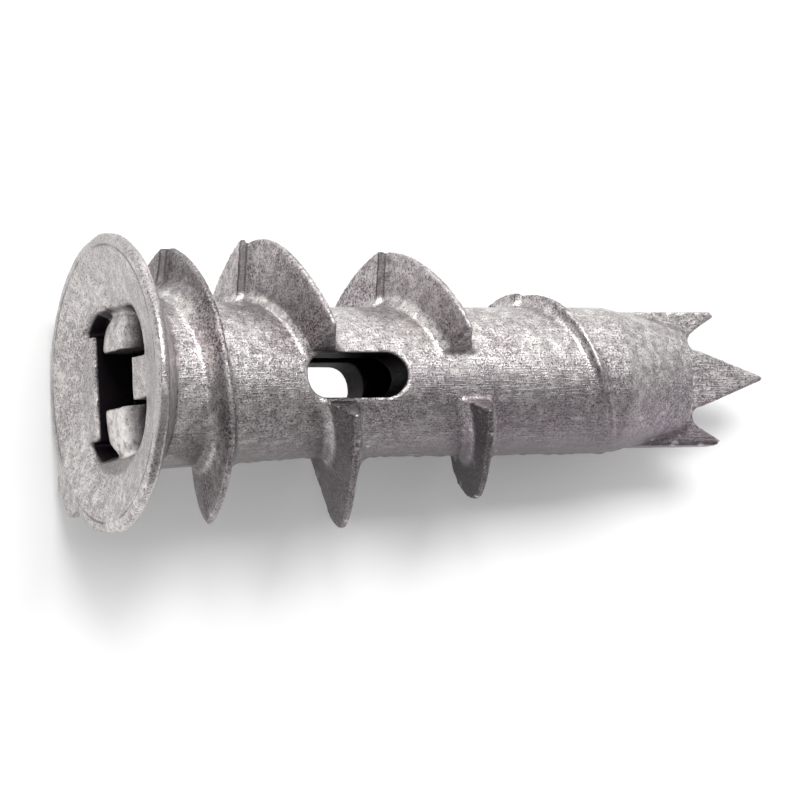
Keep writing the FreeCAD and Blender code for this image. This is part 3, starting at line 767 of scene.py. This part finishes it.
def table_material():
    """Matt white that adds its own light for the camera, so that it is white and keeps the shadow.

    It adds painted light where the camera looks through the slot, which takes away the anchor's shadow there,
    and only from the picture's direction.
    """
    stage = settings()[2]
    material = bpy.data.materials.new("pale_table")
    graph = Graph(material)
    matt = graph.node("ShaderNodeBsdfDiffuse", Color=tuple(stage.table))
    path = graph.node("ShaderNodeLightPath")
    seen = graph.maths("ADD", path.outputs["Is Camera Ray"], path.outputs["Is Glossy Ray"])
    geometry = graph.node("ShaderNodeNewGeometry").outputs
    away = graph.node("ShaderNodeVectorMath", {"Vector": geometry["Position"]}, operation="DISTANCE")
    away.inputs[1].default_value = seen_through_slot()
    facing = graph.node("ShaderNodeVectorMath", {"Vector": geometry["Incoming"]}, operation="DOT_PRODUCT")
    facing.inputs[1].default_value = -sight_line()
    # Painted light: lifts the anchor's shadow on the table seen through the slot
    painted_light_patch = graph.product(graph.ramp(away.outputs["Value"], *PAINTED_LIGHT_EDGE),
                          graph.ramp(facing.outputs["Value"], *PAINTED_LIGHT_FACING))
    level = graph.maths("ADD", graph.product(painted_light_patch, stage.slot_painted_light), stage.lift)
    glow = graph.node("ShaderNodeEmission", {"Strength": graph.product(seen, level)})
    both = graph.node("ShaderNodeAddShader")
    graph.fill(both.inputs[0], matt.outputs[0])
    graph.fill(both.inputs[1], glow.outputs[0])
    graph.node("ShaderNodeOutputMaterial", {"Surface": both.outputs[0]})
    return material


class ANCHOR_OT_table(bpy.types.Operator):
    """Lay a pale table under the anchor"""

    bl_idname = "anchor.table"
    bl_label = "Table"

    def execute(self, context):
        floor_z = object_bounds()[0][2]
        bpy.ops.mesh.primitive_plane_add(size=settings()[2].table_size, location=(0, 0, floor_z))
        table = context.view_layer.objects.active
        table.name = "pale_table"
        bpy.ops.object.transform_apply(location=True, rotation=True, scale=True)
        table.data.materials.append(table_material())
        table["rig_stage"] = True
        return {"FINISHED"}


def studio_world(stage):
    """Soft light that grows from front to back, and plain white for the camera."""
    world = bpy.data.worlds.new("studio")
    graph = Graph(world)
    heading = graph.node("ShaderNodeTexCoord").outputs["Generated"]
    split = graph.node("ShaderNodeSeparateXYZ", {"Vector": heading})
    sky = graph.node(
        "ShaderNodeMapRange", {"Value": split.outputs["Y"]}, interpolation_type="SMOOTHSTEP",
        From_Min=SKY_FROM, From_Max=SKY_TO, To_Min=stage.sky_front, To_Max=stage.sky_back)
    path = graph.node("ShaderNodeLightPath")
    strength = graph.node(
        "ShaderNodeMapRange", {"Value": path.outputs["Is Camera Ray"], "To Min": sky.outputs["Result"]},
        To_Max=1.0)
    back = graph.node("ShaderNodeBackground", {"Strength": strength.outputs["Result"]})
    graph.node("ShaderNodeOutputWorld", {"Surface": back.outputs[0]})
    return world


def add_lamp(name, place, aim, width, depth, power):
    """A rectangular lamp at a place, turned towards a point."""
    data = bpy.data.lights.new(name, "AREA")
    data.shape = "RECTANGLE"
    data.size = width
    data.size_y = depth
    data.energy = power
    lamp = bpy.data.objects.new(name, data)
    lamp.location = place
    lamp.rotation_euler = (aim - place).to_track_quat("-Z", "Y").to_euler()
    bpy.context.scene.collection.objects.link(lamp)


class ANCHOR_OT_lights(bpy.types.Operator):
    """Set the soft studio light"""

    bl_idname = "anchor.lights"
    bl_label = "Lights"

    def execute(self, context):
        stage = settings()[2]
        context.scene.world = studio_world(stage)
        aim = Vector(stage.target)
        for name, offset, width, depth, share in LAMPS:
            add_lamp(name, aim + Vector(offset), aim, width, depth, stage.lamp * share)
        return {"FINISHED"}


class ANCHOR_OT_camera(bpy.types.Operator):
    """Place the camera at the picture's viewing angle"""

    bl_idname = "anchor.camera"
    bl_label = "Camera"

    def execute(self, context):
        stage = settings()[2]
        data = bpy.data.cameras.new("picture")
        data.lens = stage.lens
        data.sensor_width = stage.sensor
        data.clip_start = stage.near_clip
        camera = bpy.data.objects.new("picture", data)
        camera.location = camera_place()
        turn = sight_line().to_track_quat("-Z", "Y").to_matrix() @ Euler((0, 0, stage.tilt)).to_matrix()
        camera.rotation_euler = turn.to_euler()
        context.scene.collection.objects.link(camera)
        context.scene.camera = camera
        context.scene.view_settings.view_transform = "Standard"
        return {"FINISHED"}


class ANCHOR_PT_panel(bpy.types.Panel):
    """The anchor's settings and steps"""

    bl_idname = "ANCHOR_PT_panel"
    bl_label = "Anchor"
    bl_space_type = "VIEW_3D"
    bl_region_type = "UI"
    bl_category = "Anchor"

    def draw(self, context):
        for group in settings():
            box = self.layout.box()
            for name in group.__annotations__:
                box.prop(group, name)
        for step in STEPS:
            self.layout.operator(step.bl_idname)


STEPS = (ANCHOR_OT_camera, ANCHOR_OT_casting, ANCHOR_OT_table, ANCHOR_OT_lights)
CLASSES = (CastingSizes, ZincFinish, StageSizes) + STEPS + (ANCHOR_PT_panel,)


def register():
    for cls in CLASSES:
        bpy.utils.register_class(cls)
    bpy.types.Scene.anchor_casting = PointerProperty(type=CastingSizes)
    bpy.types.Scene.anchor_finish = PointerProperty(type=ZincFinish)
    bpy.types.Scene.anchor_stage = PointerProperty(type=StageSizes)


def unregister():
    del bpy.types.Scene.anchor_stage
    del bpy.types.Scene.anchor_finish
    del bpy.types.Scene.anchor_casting
    for cls in reversed(CLASSES):
        bpy.utils.unregister_class(cls)


def main():
    register()
    bpy.ops.anchor.camera()
    bpy.ops.anchor.casting()
    bpy.ops.anchor.table()
    bpy.ops.anchor.lights()


if __name__ == "__main__":
    main()
